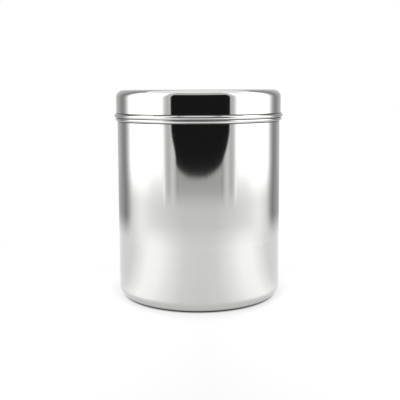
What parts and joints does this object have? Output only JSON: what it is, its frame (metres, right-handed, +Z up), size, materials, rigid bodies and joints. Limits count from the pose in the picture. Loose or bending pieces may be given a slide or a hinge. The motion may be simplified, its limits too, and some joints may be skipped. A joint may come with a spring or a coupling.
{
  "type": "candle tin",
  "caption": "Round polished steel tin with straight walls, a stop bead near the top and a slip-on lid with a rolled rim.",
  "frame": {"origin": "centre of the surface that the tin stands on", "axes": "+Z up along the tin's axis; the tin is round, so +X and +Y are free"},
  "size_m": [0.123, 0.123, 0.15],
  "materials": {
    "tin_steel": "mirror-polished stainless steel with fine rings of polishing marks",
    "lid_steel": "mirror-polished stainless steel with fine rings of polishing marks"
  },
  "bodies": {
    "tin": {"tin_body": "tin_steel"},
    "lid": {"lid": "lid_steel"}
  },
  "joints": [
    {"name": "lid_lift", "type": "slide", "parent": "tin", "child": "lid", "axis": [0, 0, 1], "range_m": [0, 0.055]}
  ]
}
